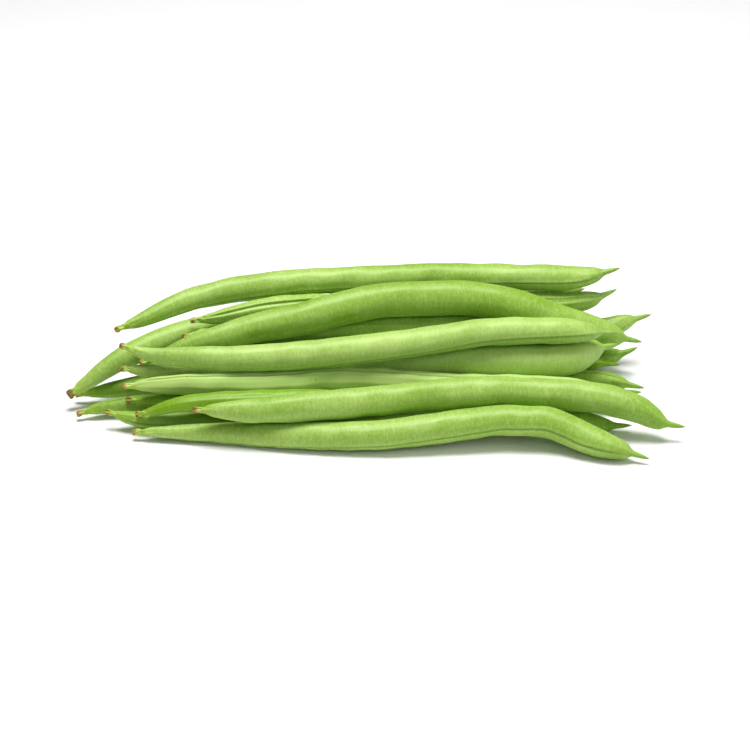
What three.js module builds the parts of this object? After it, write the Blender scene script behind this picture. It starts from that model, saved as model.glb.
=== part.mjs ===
// A bundle of fresh green beans: whole pods lying side by side in a loose untied heap.
// Millimetres, +Z up. The pods run along X with their stems at -X, on a surface at Z = 0.
import * as THREE from "three";

// Size of a pod's parts
const stubLength = 2.6; // cut stalk left on the pod
const stubRadius = 0.85; // at the cut face
const neckRadius = 0.72; // where the stalk meets the pod
const beakLength = 5.2; // the thin point at the flower end
const beakTip = 0.22; // radius just behind the very point
const beakFlare = 0.17; // growth of the beak's radius per millimetre
const beakRoot = 1.05; // radius where the beak leaves the pod
const snoutLength = 15; // over which the pod narrows to its beak

// Section of a pod: an oval, a little higher along its seam than across, with a raised seam
const sidesOfPod = 10;
const acrossSeam = 0.94;
const seamRidge = 0.05;
const seedPitch = 12.5;
const seedSwell = 0.035;
const seedsStart = 24;
const seedsEnd = 26;

// Rings of the pod's surface, by distance from the stalk's cut face and from the beak's point
const stalkRings = [0, 1.2, 2.6, 4.4, 7.5, 12, 18];
const beakRings = [18, 12.5, 9, 6.8, 5.2, 3.2, 1.2];
const bodyRingStep = 6;

// Settling of the heap
const stationsPerPod = 36;
const arcDivisions = 400; // fineness with which a pod's length is measured
const clearance = 0.34; // air left between two pods
const floorPress = 0.3; // a pod on the surface lies this much flat
const settleRounds = 420;
const dropPerRound = 0.006;
const holdShare = 0.004; // how strongly a pod keeps to its own route, per round, if it names no hold
const neighbourShare = 0.25; // how much of a shift each neighbouring station takes on, per round
const finalRounds = 160; // at the end the pods are only kept apart

const podGreen = 0x9cc25f;
const podRoughness = 0.5;

// Each pod: its body radius, the length of its shoulder at the stalk, the turn of its seam in
// degrees (0 on top, 90 facing -Y), and the route of its centre line from the stalk to the point.
// A twist turns the seam further on the way to the point. A stub is a thicker cut stalk than the
// others', and a hold keeps a pod closer to its route while the heap settles.
// Most pods on the surface have seams that put one of their flat sides down.
const beans = [
  // Two long pods across the top of the heap, then the pale one in front of them
  {
    name: "bean_01",
    radius: 3.8,
    shoulder: 44,
    hold: 0.02,
    seam: 126,
    twist: -40,
    route: [
      [-74, 43.5, 19.2], [-64, 48.5, 21.3], [-54, 53, 23.8], [-42.5, 56.5, 25.2], [-22, 59, 26.8],
      [0, 61, 26.8], [16.5, 62, 27], [42.5, 62, 26.4], [57.5, 62, 26.3], [64, 62, 27.5],
      [70.5, 62, 29.5],
    ],
  },
  {
    name: "bean_02",
    radius: 4.8,
    shoulder: 68,
    hold: 0.02,
    seam: 150,
    route: [
      [-66.5, 34.5, 12.9], [-62, 35, 14], [-51.5, 36.5, 17.5], [-33, 40.5, 21], [-20, 42.5, 23],
      [1.5, 48, 25.5], [16, 49.5, 25.5], [29.5, 50, 24.8], [41, 49, 22.6], [49.5, 49.5, 18.8],
      [58.5, 50.5, 15], [67, 50.5, 13], [76.5, 50, 11],
    ],
  },
  {
    name: "bean_03",
    radius: 3.9,
    shoulder: 58,
    seam: 168,
    twist: -88,
    route: [
      [-71.5, 32, 20], [-63, 30, 18], [-50, 28, 18], [-37.5, 27.5, 17.6], [-21, 28.5, 18],
      [-9, 30, 19], [5.5, 33, 19.5], [16, 35.5, 20], [29, 39, 20.5], [40.5, 40.5, 20.5],
      [53.5, 41.5, 20], [60.5, 42, 19.5], [68.5, 43, 18.5],
    ],
  },
  // The front slope of the heap, from its middle down to the surface
  {
    name: "bean_04",
    radius: 3.6,
    shoulder: 34,
    seam: 18,
    route: [
      [-70.5, 22.5, 10.2], [-57, 24, 9.8], [-45, 24.5, 9.5], [-26.5, 25.5, 10], [-13, 28, 10],
      [2.5, 29.8, 8.2], [19.5, 31, 5.8], [34.5, 31.5, 4.5], [48.5, 31, 4], [62.5, 29.5, 4],
      [69, 28.5, 3.5],
    ],
  },
  {
    name: "bean_05",
    radius: 4.6,
    shoulder: 56,
    seam: 10,
    twist: -40,
    route: [
      [-71.7, 31, 14.6], [-66, 31.5, 13.7], [-59, 33, 12.2], [-49.5, 34, 11.5], [-35.5, 36, 11.5],
      [-21.5, 38, 11.5], [-3.5, 39.5, 11.5], [12.5, 40, 11.5], [23.5, 39.5, 11.5], [35, 39, 11.5],
      [50.5, 40, 11.5], [57.5, 42, 12], [62, 44.5, 13], [69.5, 47, 13.5],
    ],
  },
  {
    name: "bean_06",
    radius: 4.0,
    shoulder: 36,
    seam: 150,
    route: [
      [-50, 11.5, 9.5], [-34.5, 11, 9.5], [-21, 12, 10], [-5.5, 14.5, 10.5], [13.5, 18, 11.5],
      [23, 19, 12], [33.5, 20, 12.5], [42, 20, 12], [53.5, 19, 12], [62, 18, 11.5],
      [68.5, 16.5, 10.5], [74, 15.5, 8.5], [78, 14, 6.5], [85, 13, 5.5],
    ],
  },
  {
    name: "bean_07",
    radius: 4.3,
    shoulder: 96,
    hold: 0.03,
    seam: 140,
    twist: -64,
    route: [
      [-67, 15.3, 3], [-62, 15, 3.2], [-51, 14.8, 3.4], [-37.5, 13.8, 3.6], [-20.5, 11, 4.5], [0, 9.5, 5],
      [17.5, 11, 6], [34, 13, 7], [41, 12.5, 7], [49, 11.5, 6.5], [54.5, 9, 4.7], [60.5, 6, 3.6],
      [65, 4, 3.1], [74, 1, 1.5],
    ],
  },
  // Pods that show at the left end and in the dark between the front ones
  {
    name: "bean_08",
    radius: 3.8,
    shoulder: 44,
    stub: 1.3,
    seam: 150,
    route: [
      [-86.5, 30.5, 5.7], [-79, 34, 9.9], [-74, 36.5, 12.8], [-64, 41.5, 15.8], [-52.5, 46.5, 17.5],
      [-36, 53, 17.5], [-22, 58, 17.5], [0, 64, 17], [21.5, 66, 17.5], [42, 65.5, 18.5],
      [50.5, 65, 20], [57, 64.5, 21.5], [61, 64.5, 22.5],
    ],
  },
  {
    name: "bean_09",
    radius: 3.5,
    shoulder: 44,
    seam: 162,
    route: [
      [-85, 34.5, 3], [-74, 35, 4.5], [-56, 40.5, 4.5], [-36, 48, 3.5], [-22, 52.5, 3.4],
      [1.5, 57.5, 3.4], [21.5, 59.5, 3.4], [42, 59, 3.4], [59, 55, 4.5], [69, 53, 6],
      [75.5, 52.5, 9],
    ],
  },
  {
    name: "bean_10",
    radius: 3.3,
    shoulder: 30,
    seam: 40,
    route: [
      [-52.5, 43.5, 22], [-45, 44.5, 22.5], [-35.5, 47.5, 23], [-22, 51.5, 22.5], [-10, 54.5, 20.5],
      [1.5, 56, 18.5], [21.5, 56.5, 17.5], [41.5, 57.5, 17.5], [53, 58, 17.2], [63.5, 60, 18.3],
      [70, 62, 20.3],
    ],
  },
  {
    name: "bean_11",
    radius: 3.4,
    shoulder: 40,
    seam: 320,
    route: [
      [-55, 41, 18.5], [-48.5, 43, 18.5], [-33, 47, 16.5], [-21.5, 48, 16.5], [1.5, 48, 17],
      [21, 50, 16.5], [41.5, 55, 14], [56, 60, 10.4], [65.5, 60.5, 10.4], [73, 61, 13.2],
      [79.5, 60.5, 15.5],
    ],
  },
  {
    name: "bean_12",
    radius: 3.2,
    shoulder: 46,
    seam: 54,
    route: [
      [-69.5, 22.5, 8], [-61, 21, 8], [-49, 22, 7], [-35, 25.5, 4.5], [-16, 31, 3.2],
      [1.5, 36, 3.2], [21, 38.5, 3.2], [40.5, 38.5, 3.3], [57.5, 36.5, 3.6], [66, 36, 4],
      [75.5, 36.5, 4],
    ],
  },
  {
    name: "bean_13",
    radius: 3.3,
    shoulder: 32,
    seam: 18,
    route: [
      [-83.6, 24.2, 2.6], [-76, 26.3, 3.5], [-60.5, 29, 3.5], [-35.5, 34, 3.3], [-16, 38.5, 3.3],
      [1.5, 43, 3.3], [21, 45.5, 3.3], [41, 45, 3.3], [58, 42.5, 3.5], [66.5, 41, 4],
      [76.5, 38, 3.5],
    ],
  },
  {
    name: "bean_14",
    radius: 3.3,
    shoulder: 26,
    seam: 90,
    route: [
      [-75, 22, 6], [-68.5, 21, 4.4], [-49, 21, 3.3], [-21, 19, 5], [1.5, 18.5, 5], [20.5, 19, 4.5],
      [40, 19.5, 4], [58, 19.5, 4], [64.5, 19.5, 3], [71, 19.5, 3],
    ],
  },
  {
    name: "bean_15",
    radius: 3,
    shoulder: 36,
    seam: 306,
    route: [
      [-66.5, 16.8, 4.2], [-60, 16.5, 6], [-54, 16.5, 7.4], [-43, 17, 7.6], [-32, 17.8, 7],
      [-21, 20, 6], [0, 24, 3.5], [20.5, 25.2, 3], [40, 25.8, 3], [51.5, 26, 3], [58, 26, 3],
    ],
  },
  // Pods that the others lie on, shorter and deeper in the heap
  {
    name: "bean_16",
    radius: 3.4,
    shoulder: 32,
    seam: 270,
    route: [
      [-49, 40, 3.3], [-39, 41.5, 3.3], [-22, 45.5, 3.3], [0, 50, 3.3], [21.5, 52.5, 3.3],
      [41.5, 51.5, 3.6], [53, 48.5, 5], [65, 46, 6], [70, 46, 5.5],
    ],
  },
  {
    name: "bean_17",
    radius: 3.2,
    shoulder: 30,
    seam: 270,
    route: [
      [-54, 56, 2], [-42.5, 58, 3], [-22, 61, 3.2], [0, 65, 3.2], [21.5, 66.8, 3.2],
      [42.5, 66.5, 3.2], [52.5, 65, 4], [60, 63, 5.5],
    ],
  },
  {
    name: "bean_18",
    radius: 3.3,
    shoulder: 36,
    seam: 140,
    route: [
      [-50, 41, 10], [-38.5, 43, 10], [-21.5, 45.5, 10], [0, 47.5, 10.5], [21, 48, 10.5],
      [41, 48.5, 11.5], [52.5, 48.5, 12], [60.5, 48.5, 12.5],
    ],
  },
  {
    name: "bean_19",
    radius: 3.3,
    shoulder: 34,
    seam: 20,
    route: [
      [-47.5, 50, 10.5], [-36, 51, 10.5], [-22, 53, 10.5], [0, 55, 10.5], [21.5, 56, 10.5],
      [33, 56, 10], [43, 55.5, 9.8], [49.5, 55, 9.8],
    ],
  },
];

// A quarter of an ellipse: 0 at 0, rising steeply, level at 1 and beyond.
function roundedRise(share) {
  const t = THREE.MathUtils.clamp(share, 0, 1);
  return Math.sqrt(1 - (1 - t) ** 2);
}

// The seam's turn, in radians, at a share of the pod's length.
function seamTurn(bean, share) {
  return THREE.MathUtils.degToRad(bean.seam + (bean.twist ?? 0) * share);
}

// Radius of a pod at a distance from its stalk's cut face.
function podRadius(bean, fromStalk, length) {
  const fromPoint = length - fromStalk;
  const body =
    bean.radius *
    roundedRise((fromStalk - stubLength) / bean.shoulder) *
    roundedRise((fromPoint - beakLength) / snoutLength);
  const cut = bean.stub ?? stubRadius;
  const neck = cut * (neckRadius / stubRadius);
  const stalk = THREE.MathUtils.lerp(cut, neck, Math.min(1, fromStalk / stubLength));
  const beak = Math.min(beakRoot, beakTip + beakFlare * fromPoint);
  return Math.hypot(body, fromStalk < length / 2 ? stalk : beak);
}

// How much the seeds push the pod's sides out at a distance from the stalk.
function seedBulge(bean, fromStalk, length) {
  const inside = THREE.MathUtils.smoothstep(fromStalk, seedsStart - seedPitch, seedsStart);
  const before = THREE.MathUtils.smoothstep(length - fromStalk, seedsEnd - seedPitch, seedsEnd);
  const phase = (2 * Math.PI * (fromStalk - seedsStart)) / seedPitch;
  return 1 + seedSwell * inside * before * Math.cos(phase);
}

// The pod as a row of stations that the settling moves, beside the route that it keeps to.
function stationsOf(bean) {
  const points = bean.route.map((p) => new THREE.Vector3(...p));
  const curve = new THREE.CatmullRomCurve3(points, false, "centripetal");
  curve.arcLengthDivisions = arcDivisions;
  const length = curve.getLength();
  const route = curve.getSpacedPoints(stationsPerPod - 1);
  const radii = route.map((_, i) => podRadius(bean, (i * length) / (stationsPerPod - 1), length));
  return { bean, length, route, radii, line: route.map((p) => p.clone()) };
}

// Pushes apart one station of a pod and the nearest stretch of another pod.
function keepApart(podA, i, podB) {
  const p = podA.line[i];
  const reach = podA.radii[i] + 2 * podB.bean.radius;
  const onto = new THREE.Line3();
  const near = new THREE.Vector3();
  let best = null;
  for (let j = 0; j + 1 < stationsPerPod; j++) {
    onto.set(podB.line[j], podB.line[j + 1]);
    if (Math.abs(onto.start.x - p.x) > reach) continue;
    const share = onto.closestPointToPointParameter(p, true);
    onto.at(share, near);
    const radius = THREE.MathUtils.lerp(podB.radii[j], podB.radii[j + 1], share);
    const gap = near.distanceTo(p) - podA.radii[i] - radius - clearance;
    if (gap >= 0 || (best && gap >= best.gap)) continue;
    best = { gap, j, share, away: p.clone().sub(near).normalize() };
  }
  if (!best) return;
  const push = -best.gap / 2;
  p.addScaledVector(best.away, push);
  podB.line[best.j].addScaledVector(best.away, -push * (1 - best.share));
  podB.line[best.j + 1].addScaledVector(best.away, -push * best.share);
}

// Spreads a pod's shifts along its length, so that it moves and bends as one stiff thing.
function stiffen(pod, hold) {
  const shift = pod.line.map((p, i) => p.clone().sub(pod.route[i]));
  const last = stationsPerPod - 1;
  const smooth = shift.map((s, i) =>
    shift[Math.max(0, i - 1)]
      .clone()
      .add(shift[Math.min(last, i + 1)])
      .multiplyScalar(neighbourShare)
      .addScaledVector(s, 1 - 2 * neighbourShare),
  );
  pod.line.forEach((p, i) => p.copy(pod.route[i]).addScaledVector(smooth[i], 1 - hold));
}

// Lifts a pod's stations out of the surface. The oval is lower where its seam is on the side.
function standOnSurface(pod) {
  pod.line.forEach((p, i) => {
    const turn = seamTurn(pod.bean, i / (stationsPerPod - 1));
    const halfHeight = pod.radii[i] * Math.hypot(Math.cos(turn), acrossSeam * Math.sin(turn));
    const press = floorPress * Math.min(1, pod.radii[i] / pod.bean.radius);
    p.z = Math.max(p.z, halfHeight - press);
  });
}

// Lets the pods sink onto each other and the surface until none passes through another.
function settle(pods) {
  for (let round = 0; round < settleRounds + finalRounds; round++) {
    const sinking = round < settleRounds;
    for (const pod of pods) {
      if (sinking) pod.line.forEach((p) => (p.z -= dropPerRound));
      for (const other of pods) {
        if (other === pod) continue;
        for (let i = 0; i < stationsPerPod; i++) keepApart(pod, i, other);
      }
    }
    for (const pod of pods) {
      stiffen(pod, sinking ? (pod.bean.hold ?? holdShare) : 0);
      standOnSurface(pod);
    }
  }
}

// Distances from the stalk's cut face at which a pod has a ring of corners.
function ringDistances(length) {
  const first = stalkRings.at(-1);
  const last = length - beakRings[0];
  const steps = Math.round((last - first) / bodyRingStep);
  const body = Array.from({ length: steps - 1 }, (_, k) => first + ((k + 1) * (last - first)) / steps);
  return [...stalkRings, ...body, ...beakRings.map((d) => length - d)];
}

// One closed skin: the cut face's centre, the rings, and the beak's point.
function podGeometry(pod) {
  const { bean } = pod;
  const curve = new THREE.CatmullRomCurve3(pod.line, false, "centripetal");
  curve.arcLengthDivisions = arcDivisions;
  const length = curve.getLength();
  const corners = [];
  const addCorner = (v) => corners.push(v.x, v.y, Math.max(0, v.z));
  addCorner(curve.getPointAt(0));
  const distances = ringDistances(length);
  for (const s of distances) {
    const along = curve.getTangentAt(s / length);
    const level = new THREE.Vector3(0, 0, 1).cross(along).normalize();
    const raised = along.clone().cross(level);
    const turn = seamTurn(bean, s / length);
    const toSeam = raised.clone().multiplyScalar(Math.cos(turn)).addScaledVector(level, -Math.sin(turn));
    const across = along.clone().cross(toSeam);
    const radius = podRadius(bean, s, length);
    const centre = curve.getPointAt(s / length);
    for (let k = 0; k < sidesOfPod; k++) {
      const angle = (2 * Math.PI * k) / sidesOfPod;
      const ridge = k === 0 ? seamRidge * radius : 0;
      const corner = centre.clone();
      corner.addScaledVector(toSeam, radius * Math.cos(angle) + ridge);
      corner.addScaledVector(across, acrossSeam * radius * seedBulge(bean, s, length) * Math.sin(angle));
      addCorner(corner);
    }
  }
  addCorner(curve.getPointAt(1));

  const corner = (ring, k) => 1 + ring * sidesOfPod + (k % sidesOfPod);
  const point = 1 + distances.length * sidesOfPod;
  const faces = [];
  for (let k = 0; k < sidesOfPod; k++) {
    faces.push(0, corner(0, k + 1), corner(0, k));
    for (let ring = 0; ring + 1 < distances.length; ring++) {
      faces.push(corner(ring, k), corner(ring, k + 1), corner(ring + 1, k + 1));
      faces.push(corner(ring, k), corner(ring + 1, k + 1), corner(ring + 1, k));
    }
    faces.push(point, corner(distances.length - 1, k), corner(distances.length - 1, k + 1));
  }
  const geometry = new THREE.BufferGeometry();
  geometry.setAttribute("position", new THREE.Float32BufferAttribute(corners, 3));
  geometry.setIndex(faces);
  geometry.computeVertexNormals();
  return geometry;
}

const pods = beans.map(stationsOf);
settle(pods);

const bundle = new THREE.Group();
for (const pod of pods) {
  const skin = new THREE.MeshStandardMaterial({ color: podGreen, roughness: podRoughness, metalness: 0 });
  const mesh = new THREE.Mesh(podGeometry(pod), skin);
  mesh.name = pod.bean.name;
  bundle.add(mesh);
}

// The origin is the middle of the bundle's box, on the surface.
const box = new THREE.Box3().setFromObject(bundle);
const middle = box.getCenter(new THREE.Vector3());
bundle.position.set(-middle.x, -middle.y, -box.min.z);

export default bundle;
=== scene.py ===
# A bundle of fresh green beans on a white surface, each pod remade in fine detail over its CAD solid.
import math
from collections import namedtuple
import bpy
import numpy as np
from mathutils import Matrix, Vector


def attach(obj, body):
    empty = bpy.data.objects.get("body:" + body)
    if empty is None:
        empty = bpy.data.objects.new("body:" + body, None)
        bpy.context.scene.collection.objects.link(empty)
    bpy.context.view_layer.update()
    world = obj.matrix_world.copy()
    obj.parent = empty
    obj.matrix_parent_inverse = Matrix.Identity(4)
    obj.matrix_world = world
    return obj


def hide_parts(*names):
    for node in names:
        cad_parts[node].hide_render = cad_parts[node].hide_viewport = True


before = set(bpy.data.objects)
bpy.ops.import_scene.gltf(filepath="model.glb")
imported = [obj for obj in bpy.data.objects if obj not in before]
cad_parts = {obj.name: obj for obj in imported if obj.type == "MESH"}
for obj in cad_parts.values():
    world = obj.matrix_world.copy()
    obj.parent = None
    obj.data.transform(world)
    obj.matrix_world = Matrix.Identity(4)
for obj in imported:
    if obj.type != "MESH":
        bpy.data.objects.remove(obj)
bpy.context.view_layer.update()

MM = 0.001
chance = np.random.default_rng(27)

# How the CAD solids are made: corners in a ring, how far the seam's corner stands out, and what joins doubles
CORNERS = 10
SEAM_CORNER = 1.05
JOIN_WITHIN = 0.01 * MM

# The fine skin's grid: rows along the pod, angles around it, and rings on the cut face from its middle out
ROW_STEP = 0.85 * MM
END_ROW_STEP = 0.2 * MM
END_LENGTH = 9 * MM
SEAM_ANGLES = np.radians([0, 1.6, 3.2, 5, 7, 9.5, 12.5, 17])
SIDE_STEP = math.radians(7.2)
CUT_FACE_SHARES = [0.34, 0.62, 0.86]

# Where the stalk and its collar end and the full body starts, in millimetres from the cut face
STALK_END = 2.6
COLLAR_END = 5.5
BODY_START = 9.5

# Where the body starts to fade into the snout, and where the bare beak starts, in millimetres from the point
SNOUT_START = 12
BEAK_START = 3.2

# The seams' form, in millimetres: a groove between two low ridges, fainter at the back seam
SEAM_RIDGE = 0.11
RIDGE_PLACE = 0.5
RIDGE_WIDTH = 0.34
SEAM_GROOVE = 0.13
GROOVE_WIDTH = 0.24
BACK_SEAM_SHARE = 0.3

# The swells over the seeds: sizes in millimetres, then the shares of the height and the level taken off
SEED_PITCH = 12.5
SEED_SHIFT = 1.6
SEED_LENGTH = 3.6
SEEDLESS_LENGTH = 44
SEED_SWELL = 0.17
SWELL_SHARES = (0.6, 1.25)
SWELL_LEVEL = 0.4

# Slow swells and dents: height and lengths in millimetres, how many go around, and their random spread
UNEVENNESS = 0.085
UNEVEN_LENGTHS = [9, 13, 19, 31]
UNEVEN_TURNS = [1, 2, 3]
UNEVEN_SPREAD = 0.35

# Fine ribs along the pod: two sets, the second one lower and winding by one radian in so many millimetres
RIBS_AROUND = 9
SECOND_RIBS_AROUND = 14
SECOND_RIBS_SHARE = 0.7
SECOND_RIBS_WINDING = 21

# The most that a wave around the pod is turned at random, in radians
RANDOM_TURN = 6

# Folds where the pod narrows to its beak and to its stalk: lengths in millimetres, and the waver in radians
SNOUT_FOLDS = 0.13
SNOUT_FOLDS_AROUND = 5
SNOUT_FOLDS_PLACE = 8
SNOUT_FOLDS_REACH = 3.6
SNOUT_FOLDS_WAVER = 0.6
SNOUT_FOLDS_WAVER_LENGTH = 2
NECK_FOLDS = 0.07
NECK_FOLDS_AROUND = 7
NECK_FOLDS_PLACE = 5
NECK_FOLDS_REACH = 2.6

# The stalk's rough bark: its height in millimetres, and two crossing waves, in radians a millimetre along it
STALK_ROUGHNESS = 0.11
BARK_AROUND = 5
BARK_ALONG = 1.1
CROSS_BARK_AROUND = 3
CROSS_BARK_ALONG = 2.3

# The stalk's cut end, in millimetres: a rim rounded by a share of the radius, and a hollow face
CUT_ROUNDING = 0.7
CUT_ROUNDING_SHARE = 0.38
CUT_HOLLOW = 0.22

# The place along the pod that the material gets for the whole cut face, in millimetres
CUT_FACE_PLACE = -0.3

# Most millimetres that a pod's patterns are moved along it, so that no two pods look alike
PATTERN_SHIFT = 500

# The seams' dark lines and pale stripes: places and widths in millimetres, and the back seam's share
LINE_WIDTH = 0.34
BACK_LINE_WIDTH = 0.3
BACK_LINE_SHARE = 0.5
STRIPE_PLACE = 0.8
BACK_STRIPE_PLACE = 0.7
STRIPE_WIDTH = 0.5
BACK_STRIPE_SHARE = 0.4

# How each pod differs: how pale it is, which is partly its own tone and partly painted light and shade, how
# many millimetres its ribs stand out, and how wilted its stalk is.
# The values for others are for pods that the table doesn't name.
# Painted shade and light: pods that lie in shade at the back of the bundle are made darker, bean_05, in
# another pod's shadow, is made paler, and brightly lit pods such as bean_03 and bean_04 are made paler as
# well.
PALENESS_AND_PAINTED_LIGHT = {
    "bean_01": 0.2, "bean_02": 0.05, "bean_03": 0.45, "bean_04": 1.1, "bean_05": 0.5,
    "bean_06": 0.15, "bean_07": 0.2, "bean_08": 0.3, "bean_09": -0.2, "bean_10": 0.25,
    "bean_11": 0.2, "bean_12": -0.2, "bean_13": 0.0, "bean_14": -0.1, "bean_15": -0.25,
    "bean_16": -0.4, "bean_17": -0.4, "bean_18": -0.4, "bean_19": -0.4,
}
OTHER_PALENESS = (-0.25, 0.15)
RIBS = {"bean_04": 0.05, "bean_10": 0.15, "bean_11": 0.07, "bean_12": 0.05, "bean_15": 0.05}
OTHER_RIBS = 0.012
STALK_WILT = {
    "bean_03": 0.65, "bean_06": 0.75, "bean_08": 1.0,
    "bean_11": 0.75, "bean_12": 0.9, "bean_13": 0.8,
}
OTHER_WILT = 0.5

# The skin's patterns: changes a millimetre around and along the pod, and the noise's own settings
PATTERNS = {
    "patches": {"around": 0.09, "along": 0.035, "detail": 2.0},
    "streaks": {"around": 0.22, "along": 0.6, "roughness": 0.6, "distortion": 0.8},
    "fibres": {"around": 1.6, "along": 0.07},
    "flecks": {"around": 0.9, "along": 1.9, "detail": 2.0, "roughness": 0.6},
    "bark": {"around": 1.4, "along": 1.1},
    "speck_groups": {"around": 0.5, "along": 0.35, "detail": 1.0},
    "specks": {"around": 1.7, "along": 1.7, "detail": 1.0},
}

# The green, from its fresh to its pale end: a pattern's two values, then the paleness that they add
PATTERN_PALENESS = {
    "patches": (0.3, 0.7, -0.2, 0.2),
    "streaks": (0.35, 0.75, -0.05, 0.12),
    "fibres": (0.3, 0.75, -0.05, 0.05),
    "flecks": (0.4, 0.7, -0.09, 0.2),
}
STRIPE_PALENESS = 0.16
PALENESS_ENDS = (-0.5, 1.0)
FRESH_GREEN = (116, 160, 6)
PALE_GREEN = (181, 210, 114)

# The seam's line
SEAM_GREEN = (88, 130, 10)
SEAM_TINT = 0.5

# Tints at the point: the millimetres over which one fades, its strength at the point, and its colour
POINT_TINTS = [
    ((3.0, 13.0), 0.35, (112, 156, 24)),
    ((0.2, 3.4), 0.7, (118, 146, 34)),
    ((0.1, 1.1), 0.4, (122, 92, 44)),
]

# The yellow-green collar next to the stalk: the millimetres over which it fades, and its strength
COLLAR_GREEN = (168, 196, 66)
COLLAR_FADE = (2.5, 7.0)
COLLAR_TINT = 0.5

# The brown bark: how many millimetres it reaches from the cut with the wilt and the pattern, and its colours
WILT_REACH = 1.5
PATTERN_REACH = 1.1
BARK_EDGE = (-0.7, 0.2)
BARK_TINT = 0.92
DARK_BARK = (104, 64, 26)
LIGHT_BARK = (196, 154, 86)
BARK_PATTERN_ENDS = (0.42, 0.58)
WILTED_BARK = (88, 50, 20)
WILTED_ENDS = (0.8, 1.0)
WILTED_TINT = 0.7

# A few reddish specks, where both their patterns are high
SPECK_RED = (132, 84, 48)
SPECK_TINT = 0.7
SPECK_GROUP_ENDS = (0.68, 0.72)
SPECK_ENDS = (0.62, 0.68)

# The finish: satin, a little rougher in the pale flecks and on the bark
FLECK_ROUGHNESS = (0.35, 0.7, 0.42, 0.56)
BARK_ROUGHNESS = 0.3
BUMP_SHARES = {"streaks": 0.8, "fibres": 0.25, "flecks": 0.5}
BUMP_STRENGTH = 0.34
BUMP_HEIGHT = 0.16 * MM
FINISH = {
    "Subsurface Weight": 0.1,
    "Subsurface Radius": (1.0, 1.2, 0.35),
    "Subsurface Scale": 1.2 * MM,
    "Sheen Weight": 0.06,
    "Sheen Roughness": 0.4,
    "Specular IOR Level": 0.62,
    "Specular Tint": (0.88, 1, 0.68, 1),
}

# The mix node's sockets for colours: its factor, its two inputs and its result
MIX_FACTOR = 0
MIX_FIRST = 6
MIX_SECOND = 7
MIX_RESULT = 2

# The stage: a white table, a dim white surround, and the lamps' places, sizes and watts
TABLE_REACH = 3.0
TABLE_WHITE = (0.93, 0.93, 0.93, 1)
TABLE_ROUGHNESS = 0.8
SURROUND_STRENGTH = 0.1
LAMPS = {
    "overhead": ((-0.03, 0.07, 0.75), (0.42, 0.34), 7.1),
    "front": ((0.1, -0.7, 0.5), (0.6, 0.4), 0.85),
    "right": ((0.65, -0.2, 0.4), (0.4, 0.4), 1.6),
}

# The photograph's view: a long lens, about 28 degrees above the surface
VIEW_TARGET = Vector((0.0009, -0.0045, 0.0110))
VIEW_ELEVATION = math.radians(28)
VIEW_DISTANCE = 0.65
VIEW_LENS = 111.4
SENSOR_WIDTH = 36
NEAREST_SEEN = 0.01

# A pod's fine skin: its grid of points, the middle of its cut face and its point in metres, and at each grid
# point the millimetres from the cut and to the point, the angle from the seam, and the radius in millimetres
Skin = namedtuple("Skin", "grid hub point along to_point angle radius")


def unique_corners(mesh):
    """The mesh's corners with doubles joined, and each one's neighbours."""
    points = np.array([v.co for v in mesh.vertices])
    cells = np.round(points / JOIN_WITHIN)
    _, first, joined = np.unique(cells, axis=0, return_index=True, return_inverse=True)
    joined = joined.ravel()
    neighbours = [set() for _ in first]
    for polygon in mesh.polygons:
        loop = [joined[i] for i in polygon.vertices]
        for a, b in zip(loop, loop[1:] + loop[:1]):
            neighbours[a].add(b)
            neighbours[b].add(a)
    return points[first], neighbours


def rings_from(pole, neighbours):
    """The rings of corners met one after another from a pole, and the pole at the other end."""
    seen = {pole}
    rings = []
    edge = {pole}
    while True:
        edge = set().union(*(neighbours[i] for i in edge)) - seen
        if len(edge) < CORNERS:
            return rings, edge.pop()
        seen |= edge
        rings.append(sorted(edge))


def pod_rings(node):
    """A pod's rings of corners from its cut face to its point, each from the seam on, and its two poles."""
    points, neighbours = unique_corners(node.data)
    poles = [i for i, near in enumerate(neighbours) if len(near) == CORNERS]
    flatness = {p: np.linalg.norm(points[list(neighbours[p])].mean(0) - points[p]) for p in poles}
    cut = min(poles, key=flatness.get)
    rings, point = rings_from(cut, neighbours)
    centres = np.array([points[ring].mean(0) for ring in rings])
    along = np.gradient(centres, axis=0)
    along /= np.linalg.norm(along, axis=1)[:, None]

    # Every ring starts at the corner that follows on from the start of the ring before it
    start = rings[0][0]
    last_centre = centres[0]
    ordered = []
    for ring, centre, axis in zip(rings, centres, along):
        if ordered:
            last_spoke = points[start] - last_centre
            near = neighbours[start] & set(ring)
            start = max(near, key=lambda i: np.dot(points[i] - centre, last_spoke))
        out = points[start] - centre
        side = np.cross(axis, out)
        spokes = points[ring] - centre
        angles = np.arctan2(spokes @ side / np.linalg.norm(side), spokes @ out / np.linalg.norm(out))
        # Rounded, so that the start itself always sorts first
        turns = np.round(angles, 4) % (2 * math.pi)
        ordered.append(points[ring][np.argsort(turns)])
        last_centre = centre

    corners = np.array(ordered)
    reach = np.linalg.norm(corners - centres[:, None], axis=2)
    seam = np.argmax((reach / reach.mean(1)[:, None]).mean(0))
    return np.roll(corners, -seam, axis=1), points[cut], points[point]


def skin_angles():
    """Angles around a pod from its seam, closer together at both seams."""
    near = SEAM_ANGLES
    sides = np.arange(near[-1] + SIDE_STEP, math.pi - near[-1] - SIDE_STEP / 2, SIDE_STEP)
    half = np.concatenate([near, sides, math.pi - near[::-1]])
    return np.concatenate([half, 2 * math.pi - half[-2:0:-1]])


def around_smoothly(corners, angles):
    """Each ring of corners as a smooth closed line through them, at the given angles."""
    waves = np.fft.fft(corners, axis=1) / CORNERS
    orders = np.fft.fftfreq(CORNERS, 1 / CORNERS)
    turns = np.exp(1j * np.outer(orders, angles))
    return np.einsum("rkc,ka->rac", waves, turns).real


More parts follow.
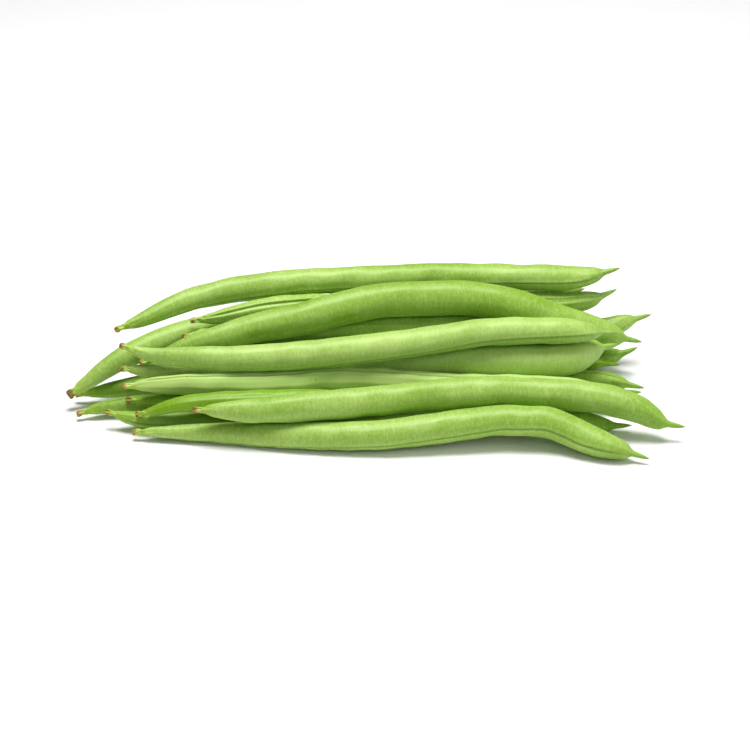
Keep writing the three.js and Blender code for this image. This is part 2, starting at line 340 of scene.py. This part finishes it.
def along_smoothly(rows, places, wanted):
    """Rows of points at some places along a pod, carried smoothly to the wanted places."""
    slopes = np.gradient(rows, places, axis=0)
    k = np.clip(np.searchsorted(places, wanted, side="right") - 1, 0, len(places) - 2)
    span = places[k + 1] - places[k]
    t = ((wanted - places[k]) / span)[:, None, None]
    span = span[:, None, None]
    return (
        rows[k] * (1 + 2 * t) * (1 - t) ** 2
        + rows[k + 1] * t * t * (3 - 2 * t)
        + slopes[k] * span * t * (1 - t) ** 2
        + slopes[k + 1] * span * t * t * (t - 1)
    )


def row_places(length):
    """Distances from the cut face at which the fine skin has a row, closer together at both ends."""
    ends = np.arange(0, END_LENGTH, END_ROW_STEP)
    body_rows = round((length - 2 * END_LENGTH) / ROW_STEP)
    body = np.linspace(END_LENGTH, length - END_LENGTH, body_rows)
    return np.concatenate([ends, body, length - ends[::-1]])


def step(value, low, high):
    """0 below low and 1 above high, smooth between."""
    t = np.clip((value - low) / (high - low), 0, 1)
    return t * t * (3 - 2 * t)


def bell(value, width):
    """1 at 0, falling smoothly to nothing on both sides."""
    return np.exp(-((value / width) ** 2))


def body_share(along, to_point):
    """1 over the pod's body, fading to 0 at the stalk and the beak."""
    return step(along, STALK_END, BODY_START) * step(to_point, BEAK_START, SNOUT_START)


def seam_distances(angle, radius):
    """How far around the skin each point is from the seam and from the back seam."""
    from_seam = radius * ((angle + math.pi) % (2 * math.pi) - math.pi)
    from_back = radius * (angle - math.pi)
    return from_seam, from_back


def random_turn():
    """A random start for waves around a pod."""
    return chance.uniform(0, RANDOM_TURN)


def seam_form(across):
    """Height of a seam: a groove between two low ridges."""
    ridges = bell(np.abs(across) - RIDGE_PLACE, RIDGE_WIDTH)
    return SEAM_RIDGE * ridges - SEAM_GROOVE * bell(across, GROOVE_WIDTH)


def seed_places(length):
    """Where a pod's seeds lie, a little unevenly spaced."""
    count = int((length - SEEDLESS_LENGTH) / SEED_PITCH)
    first = (length - (count - 1) * SEED_PITCH) / 2
    return first + SEED_PITCH * np.arange(count) + chance.uniform(-SEED_SHIFT, SEED_SHIFT, count)


def seed_form(along, angle):
    """Height of the swells over the seeds, on both flat sides of the pod."""
    places = seed_places(along.max())
    swells = sum(bell(along - place, SEED_LENGTH) * chance.uniform(*SWELL_SHARES) for place in places)
    return SEED_SWELL * (swells - SWELL_LEVEL) * np.sin(angle) ** 2


def uneven_form(along, angle):
    """Height of the skin's slow swells and dents."""
    total = 0
    for wave in UNEVEN_LENGTHS:
        for turns in UNEVEN_TURNS:
            total = total + chance.normal(0, UNEVEN_SPREAD) * np.cos(
                turns * angle + 2 * math.pi * along / wave + chance.uniform(0, 2 * math.pi)
            )
    return UNEVENNESS * total


def rib_form(name, along, angle):
    """Height of the ribs that run along the pod."""
    ribs = np.cos(RIBS_AROUND * angle + random_turn())
    winding = along / SECOND_RIBS_WINDING
    second = np.cos(SECOND_RIBS_AROUND * angle + winding + random_turn())
    return RIBS.get(name, OTHER_RIBS) * (ribs + SECOND_RIBS_SHARE * second)


def fold_form(along, to_point, angle):
    """Height of the folds where the pod narrows to its beak and to its stalk."""
    waver = SNOUT_FOLDS_WAVER * np.sin(to_point / SNOUT_FOLDS_WAVER_LENGTH)
    snout = np.cos(SNOUT_FOLDS_AROUND * angle + random_turn() + waver)
    neck = np.cos(NECK_FOLDS_AROUND * angle + random_turn())
    near_snout = bell(to_point - SNOUT_FOLDS_PLACE, SNOUT_FOLDS_REACH)
    near_neck = bell(along - NECK_FOLDS_PLACE, NECK_FOLDS_REACH)
    return SNOUT_FOLDS * near_snout * snout + NECK_FOLDS * near_neck * neck


def bark_form(along, angle):
    """Height of the stalk's rough bark."""
    stalk = 1 - step(along, STALK_END, COLLAR_END)
    bark = np.cos(BARK_AROUND * angle + BARK_ALONG * along + random_turn())
    cross_bark = np.cos(CROSS_BARK_AROUND * angle - CROSS_BARK_ALONG * along)
    return STALK_ROUGHNESS * stalk * (bark + cross_bark)


def skin_heights(name, along, to_point, angle, radius):
    """How far the skin stands out from the smooth pod, all in millimetres."""
    from_seam, from_back = seam_distances(angle, radius)
    height = seam_form(from_seam) + BACK_SEAM_SHARE * seam_form(from_back)
    height = height + seed_form(along, angle)
    height = height + uneven_form(along, angle)
    height = height + rib_form(name, along, angle)
    folds = fold_form(along, to_point, angle)
    return body_share(along, to_point) * height + folds + bark_form(along, angle)


def rim_rounding(along):
    """0 on the stalk and down to -1 at the cut face's edge, as a quarter circle."""
    return np.sqrt(1 - np.clip(1 - along / CUT_ROUNDING, 0, 1) ** 2) - 1


def fine_skin(name, node):
    """A pod's fine grid of points, and what the material needs to know at each of them."""
    corners, cut_middle, point = pod_rings(node)
    middle = corners.mean(1, keepdims=True)
    corners[:, :1] = middle + (corners[:, :1] - middle) / SEAM_CORNER
    centres = np.vstack([corners.mean(1), point])
    places = np.concatenate([[0], np.cumsum(np.linalg.norm(np.diff(centres, axis=0), axis=1))])
    length = places[-1]
    angles = skin_angles()
    rows = np.concatenate([around_smoothly(corners, angles), np.tile(point, (1, len(angles), 1))])
    wanted = row_places(length)[:-1]
    skin = along_smoothly(rows, places, wanted)

    # The relief stands out along the spokes from the pod's middle line
    centre = along_smoothly(centres[:, None], places, wanted)
    spokes = skin - centre
    radius = np.linalg.norm(spokes, axis=2)
    along = np.broadcast_to(wanted[:, None] / MM, radius.shape)
    angle = np.broadcast_to(angles, radius.shape)
    heights = skin_heights(name, along, length / MM - along, angle, radius / MM)
    heights = heights + CUT_ROUNDING_SHARE * radius / MM * rim_rounding(along)
    skin = skin + spokes / radius[:, :, None] * heights[:, :, None] * MM

    # The cut face is a few rings inside the first row, sunk towards its middle
    inward = centre[1] - centre[0]
    inward /= np.linalg.norm(inward)
    face = [
        cut_middle + (skin[0] - cut_middle) * share + inward * CUT_HOLLOW * MM * (1 - share**3)
        for share in CUT_FACE_SHARES
    ]
    grid = np.concatenate([face, skin])
    # Nothing goes below the surface that the bundle lies on
    grid[:, :, 2] = np.maximum(grid[:, :, 2], 0)
    along = np.vstack([np.full((len(face), len(angles)), CUT_FACE_PLACE), along])
    radius = np.vstack([np.outer(CUT_FACE_SHARES, radius[0]), radius]) / MM
    hub = cut_middle + inward * CUT_HOLLOW * MM
    return Skin(grid, hub, point, along, length / MM - along, np.tile(angles, (len(grid), 1)), radius)


def grid_faces(rows, columns):
    """Quads of a closed tube of points, and the triangles that close its two ends."""
    index = np.arange(rows * columns).reshape(rows, columns)
    right = np.roll(index, -1, axis=1)
    quads = np.stack([index[:-1], right[:-1], right[1:], index[1:]], axis=-1).reshape(-1, 4)
    hub = rows * columns
    first = [(hub, b, a) for a, b in zip(index[0], right[0])]
    last = [(hub + 1, a, b) for a, b in zip(index[-1], right[-1])]
    return quads.tolist() + first + last


def point_values(mesh, name, kind, values):
    """Keeps a value at each of the mesh's points under a name."""
    field = "vector" if kind == "FLOAT_VECTOR" else "value"
    attribute = mesh.attributes.new(name, kind, "POINT")
    attribute.data.foreach_set(field, np.asarray(values, np.float32).ravel())


def add_material_values(mesh, name, skin):
    """Gives the mesh the values that the pod's material reads."""

    def with_poles(values, at_hub, at_point):
        return np.concatenate([values.ravel(), [at_hub, at_point]])

    # The pod laid out straight, each one at its own place in the patterns
    own_place = chance.uniform(0, PATTERN_SHIFT)
    across = skin.radius * np.cos(skin.angle)
    upright = skin.radius * np.sin(skin.angle)
    straight = np.stack([across, upright, skin.along + own_place], axis=-1)
    ends = np.array([[0, 0, own_place], [0, 0, own_place + skin.along.max()]])
    point_values(mesh, "straight_pod", "FLOAT_VECTOR", np.vstack([straight.reshape(-1, 3), ends]))

    from_seam, from_back = seam_distances(skin.angle, skin.radius)
    body = body_share(skin.along, skin.to_point)
    line = bell(from_seam, LINE_WIDTH) + BACK_LINE_SHARE * bell(from_back, BACK_LINE_WIDTH)
    stripe = bell(np.abs(from_seam) - STRIPE_PLACE, STRIPE_WIDTH)
    back_stripe = bell(np.abs(from_back) - BACK_STRIPE_PLACE, STRIPE_WIDTH)
    stripes = stripe + BACK_STRIPE_SHARE * back_stripe
    point_values(mesh, "seam_line", "FLOAT", with_poles(body * line, 0, 0))
    point_values(mesh, "seam_side", "FLOAT", with_poles(body * stripes, 0, 0))
    point_values(mesh, "from_cut", "FLOAT", with_poles(skin.along, CUT_FACE_PLACE, skin.along.max()))
    point_values(mesh, "to_point", "FLOAT", with_poles(skin.to_point, skin.to_point.max(), 0))

    everywhere = np.ones(len(mesh.vertices))
    # How pale the pod is: partly its own tone and partly painted light and shade
    paleness_and_painted_light = PALENESS_AND_PAINTED_LIGHT.get(name, chance.uniform(*OTHER_PALENESS))
    point_values(mesh, "paleness_and_painted_light", "FLOAT", everywhere * paleness_and_painted_light)
    point_values(mesh, "wilt", "FLOAT", everywhere * STALK_WILT.get(name, OTHER_WILT))


def pod(name, material):
    """One bean: its stalk, skin and beak as a single closed mesh that stands for its CAD node."""
    skin = fine_skin(name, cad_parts[name])
    rows, columns = skin.grid.shape[:2]
    points = np.vstack([skin.grid.reshape(-1, 3), skin.hub, skin.point])
    mesh = bpy.data.meshes.new(name + "_skin")
    mesh.from_pydata(points.tolist(), [], grid_faces(rows, columns))
    mesh.polygons.foreach_set("use_smooth", [True] * len(mesh.polygons))
    add_material_values(mesh, name, skin)
    mesh.materials.append(material)
    bean = bpy.data.objects.new(name + "_pod", mesh)
    bpy.context.scene.collection.objects.link(bean)
    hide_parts(name)
    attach(bean, "root")


class Nodes:
    """Short calls for building a material's node tree."""

    def __init__(self, tree):
        self.tree = tree

    def add(self, kind, values=(), **settings):
        """A node with its settings, and its sockets linked or set."""
        node = self.tree.nodes.new(kind)
        for key, value in settings.items():
            setattr(node, key, value)
        for socket, value in dict(values).items():
            if isinstance(value, bpy.types.NodeSocket):
                self.tree.links.new(value, node.inputs[socket])
            else:
                node.inputs[socket].default_value = value
        return node

    def attribute(self, name, output="Fac"):
        """A value that the mesh keeps at its points."""
        return self.add("ShaderNodeAttribute", attribute_name=name).outputs[output]

    def math(self, operation, a, b, clamp=False):
        """The result of an operation on two values."""
        return self.add("ShaderNodeMath", {0: a, 1: b}, operation=operation, use_clamp=clamp).outputs[0]

    def ramp(self, value, low, high, at_low=0.0, at_high=1.0):
        """A smooth change from at_low to at_high while the value goes from low to high."""
        sockets = {"Value": value, "From Min": low, "From Max": high, "To Min": at_low, "To Max": at_high}
        return self.add("ShaderNodeMapRange", sockets, interpolation_type="SMOOTHSTEP").outputs[0]

    def pattern(self, around, along, detail=3.0, roughness=0.55, distortion=0.0):
        """Noise with so many changes a millimetre around and along the straight pod."""
        place = self.attribute("straight_pod", "Vector")
        stretch = {0: place, 1: (around, around, along)}
        sockets = {
            "Vector": self.add("ShaderNodeVectorMath", stretch, operation="MULTIPLY").outputs[0],
            "Scale": 1.0,
            "Detail": detail,
            "Roughness": roughness,
            "Distortion": distortion,
        }
        return self.add("ShaderNodeTexNoise", sockets).outputs["Fac"]

    def blend(self, share, first, second):
        """A share of the second colour over the first."""
        sockets = {MIX_FACTOR: share, MIX_FIRST: first, MIX_SECOND: second}
        return self.add("ShaderNodeMix", sockets, data_type="RGBA").outputs[MIX_RESULT]

    def tint(self, base, share, strength, tint):
        """A colour over a base where the share is high, at the most with the given strength."""
        return self.blend(self.math("MULTIPLY", share, strength, clamp=True), base, colour(tint))


def colour(display):
    """A display colour of 0 to 255 a channel as the shader's linear colour."""
    def linear(c):
        c /= 255
        return c / 12.92 if c <= 0.04045 else ((c + 0.055) / 1.055) ** 2.4

    return (*(linear(c) for c in display), 1)


def skin_green(n, patterns):
    """The skin's green, paler or fresher with the pod's own tone and its painted light and shade, its
    patterns and the stripes beside its seams.
    """
    pale = n.attribute("paleness_and_painted_light")
    for name, ends in PATTERN_PALENESS.items():
        pale = n.math("ADD", pale, n.ramp(patterns[name], *ends))
    pale = n.math("ADD", pale, n.math("MULTIPLY", n.attribute("seam_side"), STRIPE_PALENESS))
    return n.blend(n.ramp(pale, *PALENESS_ENDS), colour(FRESH_GREEN), colour(PALE_GREEN))


def with_seam_and_point(n, green):
    """The green with the seams' dark lines, darker towards the point and brownish at its very tip."""
    green = n.tint(green, n.attribute("seam_line"), SEAM_TINT, SEAM_GREEN)
    to_point = n.attribute("to_point")
    for fade, strength, tint in POINT_TINTS:
        green = n.tint(green, n.ramp(to_point, *fade, 1.0, 0.0), strength, tint)
    return green


def bark_share(n, pattern):
    """1 on the stalk's brown bark, which reaches further where it is wilted, and 0 on the green."""
    reach = n.math(
        "ADD",
        n.math("MULTIPLY", n.attribute("wilt"), WILT_REACH),
        n.math("MULTIPLY", pattern, PATTERN_REACH),
    )
    past_bark = n.math("SUBTRACT", n.attribute("from_cut"), reach)
    return n.ramp(past_bark, *BARK_EDGE, 1.0, 0.0)


def with_stalk(n, green, pattern, bark):
    """The green with the stalk: a yellow-green collar, then mottled bark, darkest where it is most wilted."""
    collar = n.ramp(n.attribute("from_cut"), *COLLAR_FADE, COLLAR_TINT, 0.0)
    green = n.blend(collar, green, colour(COLLAR_GREEN))
    brown = n.blend(n.ramp(pattern, *BARK_PATTERN_ENDS), colour(DARK_BARK), colour(LIGHT_BARK))
    brown = n.tint(brown, n.ramp(n.attribute("wilt"), *WILTED_ENDS), WILTED_TINT, WILTED_BARK)
    return n.blend(n.math("MULTIPLY", bark, BARK_TINT), green, brown)


def with_specks(n, green, patterns):
    """The green with a few reddish specks in groups."""
    groups = n.ramp(patterns["speck_groups"], *SPECK_GROUP_ENDS)
    specks = n.ramp(patterns["specks"], *SPECK_ENDS)
    return n.tint(green, n.math("MULTIPLY", groups, specks), SPECK_TINT, SPECK_RED)


def skin_bump(n, patterns):
    """The skin's fine grain, too small to be in the mesh."""
    height = 0.0
    for name, share in BUMP_SHARES.items():
        height = n.math("ADD", n.math("MULTIPLY", patterns[name], share), height)
    sockets = {"Strength": BUMP_STRENGTH, "Distance": BUMP_HEIGHT, "Height": height}
    return n.add("ShaderNodeBump", sockets).outputs[0]


def pod_material():
    """Satin green skin with pale flecks, dark seam lines, a brown cut stalk and a brownish tip."""
    material = bpy.data.materials.new("fresh_pod")
    material.use_nodes = True
    tree = material.node_tree
    shader = tree.nodes["Principled BSDF"]
    n = Nodes(tree)
    patterns = {name: n.pattern(**settings) for name, settings in PATTERNS.items()}
    bark = bark_share(n, patterns["bark"])

    green = skin_green(n, patterns)
    green = with_seam_and_point(n, green)
    green = with_stalk(n, green, patterns["bark"], bark)
    green = with_specks(n, green, patterns)
    tree.links.new(green, shader.inputs["Base Color"])

    rough = n.ramp(patterns["flecks"], *FLECK_ROUGHNESS)
    rough = n.math("ADD", rough, n.math("MULTIPLY", bark, BARK_ROUGHNESS), clamp=True)
    tree.links.new(rough, shader.inputs["Roughness"])
    tree.links.new(skin_bump(n, patterns), shader.inputs["Normal"])
    for socket, value in FINISH.items():
        shader.inputs[socket].default_value = value
    return material


def surface():
    """A wide white table, which isn't part of the bundle."""
    near, far = -TABLE_REACH, TABLE_REACH
    corners = [(near, near, 0), (far, near, 0), (far, far, 0), (near, far, 0)]
    mesh = bpy.data.meshes.new("table_top")
    mesh.from_pydata(corners, [], [(0, 1, 2, 3)])
    top = bpy.data.objects.new("table_top", mesh)
    bpy.context.scene.collection.objects.link(top)
    material = bpy.data.materials.new("white_table")
    material.use_nodes = True
    shader = material.node_tree.nodes["Principled BSDF"]
    shader.inputs["Base Color"].default_value = TABLE_WHITE
    shader.inputs["Roughness"].default_value = TABLE_ROUGHNESS
    mesh.materials.append(material)


def lamp(name, place, size, power):
    """A soft rectangular light that faces the bundle."""
    light = bpy.data.lights.new(name, "AREA")
    light.shape = "RECTANGLE"
    light.size, light.size_y = size
    light.energy = power
    holder = bpy.data.objects.new(name, light)
    holder.location = place
    holder.rotation_euler = (VIEW_TARGET - holder.location).to_track_quat("-Z", "Y").to_euler()
    bpy.context.scene.collection.objects.link(holder)


def studio():
    """The light: a dim white surround, a strong lamp overhead, and weak ones in front and at the right."""
    world = bpy.data.worlds.new("studio")
    bpy.context.scene.world = world
    world.use_nodes = True
    background = world.node_tree.nodes["Background"]
    background.inputs["Color"].default_value = (1, 1, 1, 1)
    background.inputs["Strength"].default_value = SURROUND_STRENGTH
    for name, (place, size, power) in LAMPS.items():
        lamp(name, place, size, power)


def camera():
    """The photograph's view."""
    lens = bpy.data.cameras.new("view")
    lens.lens = VIEW_LENS
    lens.sensor_width = SENSOR_WIDTH
    lens.clip_start = NEAREST_SEEN
    holder = bpy.data.objects.new("view", lens)
    back = Vector((0, -math.cos(VIEW_ELEVATION), math.sin(VIEW_ELEVATION)))
    holder.location = VIEW_TARGET + VIEW_DISTANCE * back
    holder.rotation_euler = (-back).to_track_quat("-Z", "Y").to_euler()
    bpy.context.scene.collection.objects.link(holder)
    bpy.context.scene.camera = holder


fresh = pod_material()
for name in sorted(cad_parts):
    pod(name, fresh)
surface()
studio()
camera()
bpy.context.scene.view_settings.view_transform = "Standard"
